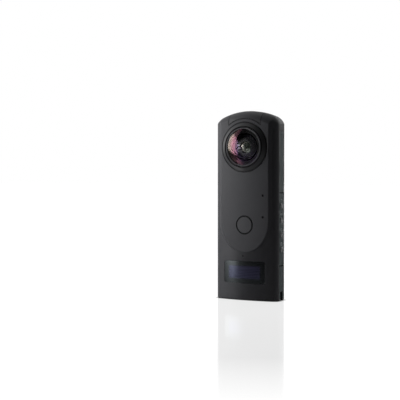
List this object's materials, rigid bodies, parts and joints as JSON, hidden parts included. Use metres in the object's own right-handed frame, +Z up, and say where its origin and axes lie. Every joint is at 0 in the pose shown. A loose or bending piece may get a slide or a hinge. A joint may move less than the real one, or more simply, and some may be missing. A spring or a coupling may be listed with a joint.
{
  "type": "360 degree camera",
  "caption": "Slim upright 360 degree camera with a fisheye lens on each face, a shutter button, side keys, a small display window, a tripod socket and a strap bar.",
  "frame": {"origin": "middle of the base, on the surface that the camera stands on", "axes": "+Z up along the body, -Y out of the shutter and display face, +X towards the side keys"},
  "size_m": [0.0482, 0.0296, 0.1325],
  "materials": {
    "casing_metal": "fine matt coating on cast magnesium",
    "cap_plastic": "matt moulded plastic",
    "trim_plastic": "matt moulded plastic",
    "key_plastic": "matt moulded plastic",
    "button_metal": "fine matt coating",
    "bezel_metal": "satin black coating on turned aluminium",
    "ring_metal": "black anodised, bright bevels",
    "barrel_plastic": "deep black, moulded steps",
    "optical_glass": "polished and coated",
    "prism_glass": "polished",
    "window_plastic": "clear sheet, printed black behind",
    "display_panel": "dark display panel",
    "inner_plastic": "moulded",
    "lamp_plastic": "clear light pipe",
    "circuit_board": "solder mask over fibre board",
    "chip_resin": "moulded resin",
    "sheet_steel": "drawn sheet",
    "copper_sheet": "rolled copper",
    "cell_wrap": "wrapped cell",
    "chassis_metal": "cast magnesium, bare",
    "socket_steel": "turned steel",
    "speaker_shell": "moulded shell"
  },
  "bodies": {
    "camera": {"antenna": "copper_sheet", "base_plate": "trim_plastic", "battery": "cell_wrap", "casing_screws": "socket_steel", "chassis": "chassis_metal", "display_frame": "inner_plastic", "display_module": "display_panel", "display_window": "window_plastic", "front_dome_lens": "optical_glass", "front_fold_prism": "prism_glass", "front_image_sensor": "chip_resin", "front_inner_barrel": "barrel_plastic", "front_lens_bezel": "bezel_metal", "front_lens_ring": "ring_metal", "front_relay_lens": "prism_glass", "front_second_lens": "optical_glass", "front_sensor_lens": "prism_glass", "front_shell": "casing_metal", "front_turning_prism": "prism_glass", "heat_spreader": "copper_sheet", "key_panel": "trim_plastic", "key_switches": "chip_resin", "light_pipes": "lamp_plastic", "lower_side_trim": "trim_plastic", "main_board": "circuit_board", "microphones": "sheet_steel", "optics_block": "chassis_metal", "power_chip": "chip_resin", "processor_chips": "chip_resin", "radio_module": "sheet_steel", "rear_dome_lens": "optical_glass", "rear_fold_prism": "prism_glass", "rear_image_sensor": "chip_resin", "rear_inner_barrel": "barrel_plastic", "rear_lens_bezel": "bezel_metal", "rear_lens_ring": "ring_metal", "rear_relay_lens": "prism_glass", "rear_second_lens": "optical_glass", "rear_sensor_lens": "prism_glass", "rear_shell": "casing_metal", "rear_turning_prism": "prism_glass", "sensor_board": "circuit_board", "shield_can": "sheet_steel", "shutter_switch": "chip_resin", "side_key_board": "circuit_board", "speaker": "speaker_shell", "speaker_trim": "trim_plastic", "strap_bar": "socket_steel", "top_cap": "cap_plastic", "tripod_socket": "socket_steel", "upper_side_trim": "trim_plastic", "usb_c_port": "sheet_steel"},
    "shutter_button": {"shutter_button": "button_metal"},
    "power_button": {"power_button": "key_plastic"},
    "wireless_button": {"wireless_button": "key_plastic"},
    "mode_button": {"mode_button": "key_plastic"},
    "function_button": {"function_button": "key_plastic"}
  },
  "joints": [
    {"name": "shutter_press", "type": "slide", "parent": "camera", "child": "shutter_button", "axis": [0, 1, 0], "range_m": [0, 0.0004], "stiffness_N_per_m": 60},
    {"name": "power_press", "type": "slide", "parent": "camera", "child": "power_button", "axis": [-1, 0, 0], "range_m": [0, 0.0003], "stiffness_N_per_m": 60},
    {"name": "wireless_press", "type": "slide", "parent": "camera", "child": "wireless_button", "axis": [-1, 0, 0], "range_m": [0, 0.0003], "stiffness_N_per_m": 60},
    {"name": "mode_press", "type": "slide", "parent": "camera", "child": "mode_button", "axis": [-1, 0, 0], "range_m": [0, 0.0003], "stiffness_N_per_m": 60},
    {"name": "function_press", "type": "slide", "parent": "camera", "child": "function_button", "axis": [-1, 0, 0], "range_m": [0, 0.0003], "stiffness_N_per_m": 60}
  ]
}
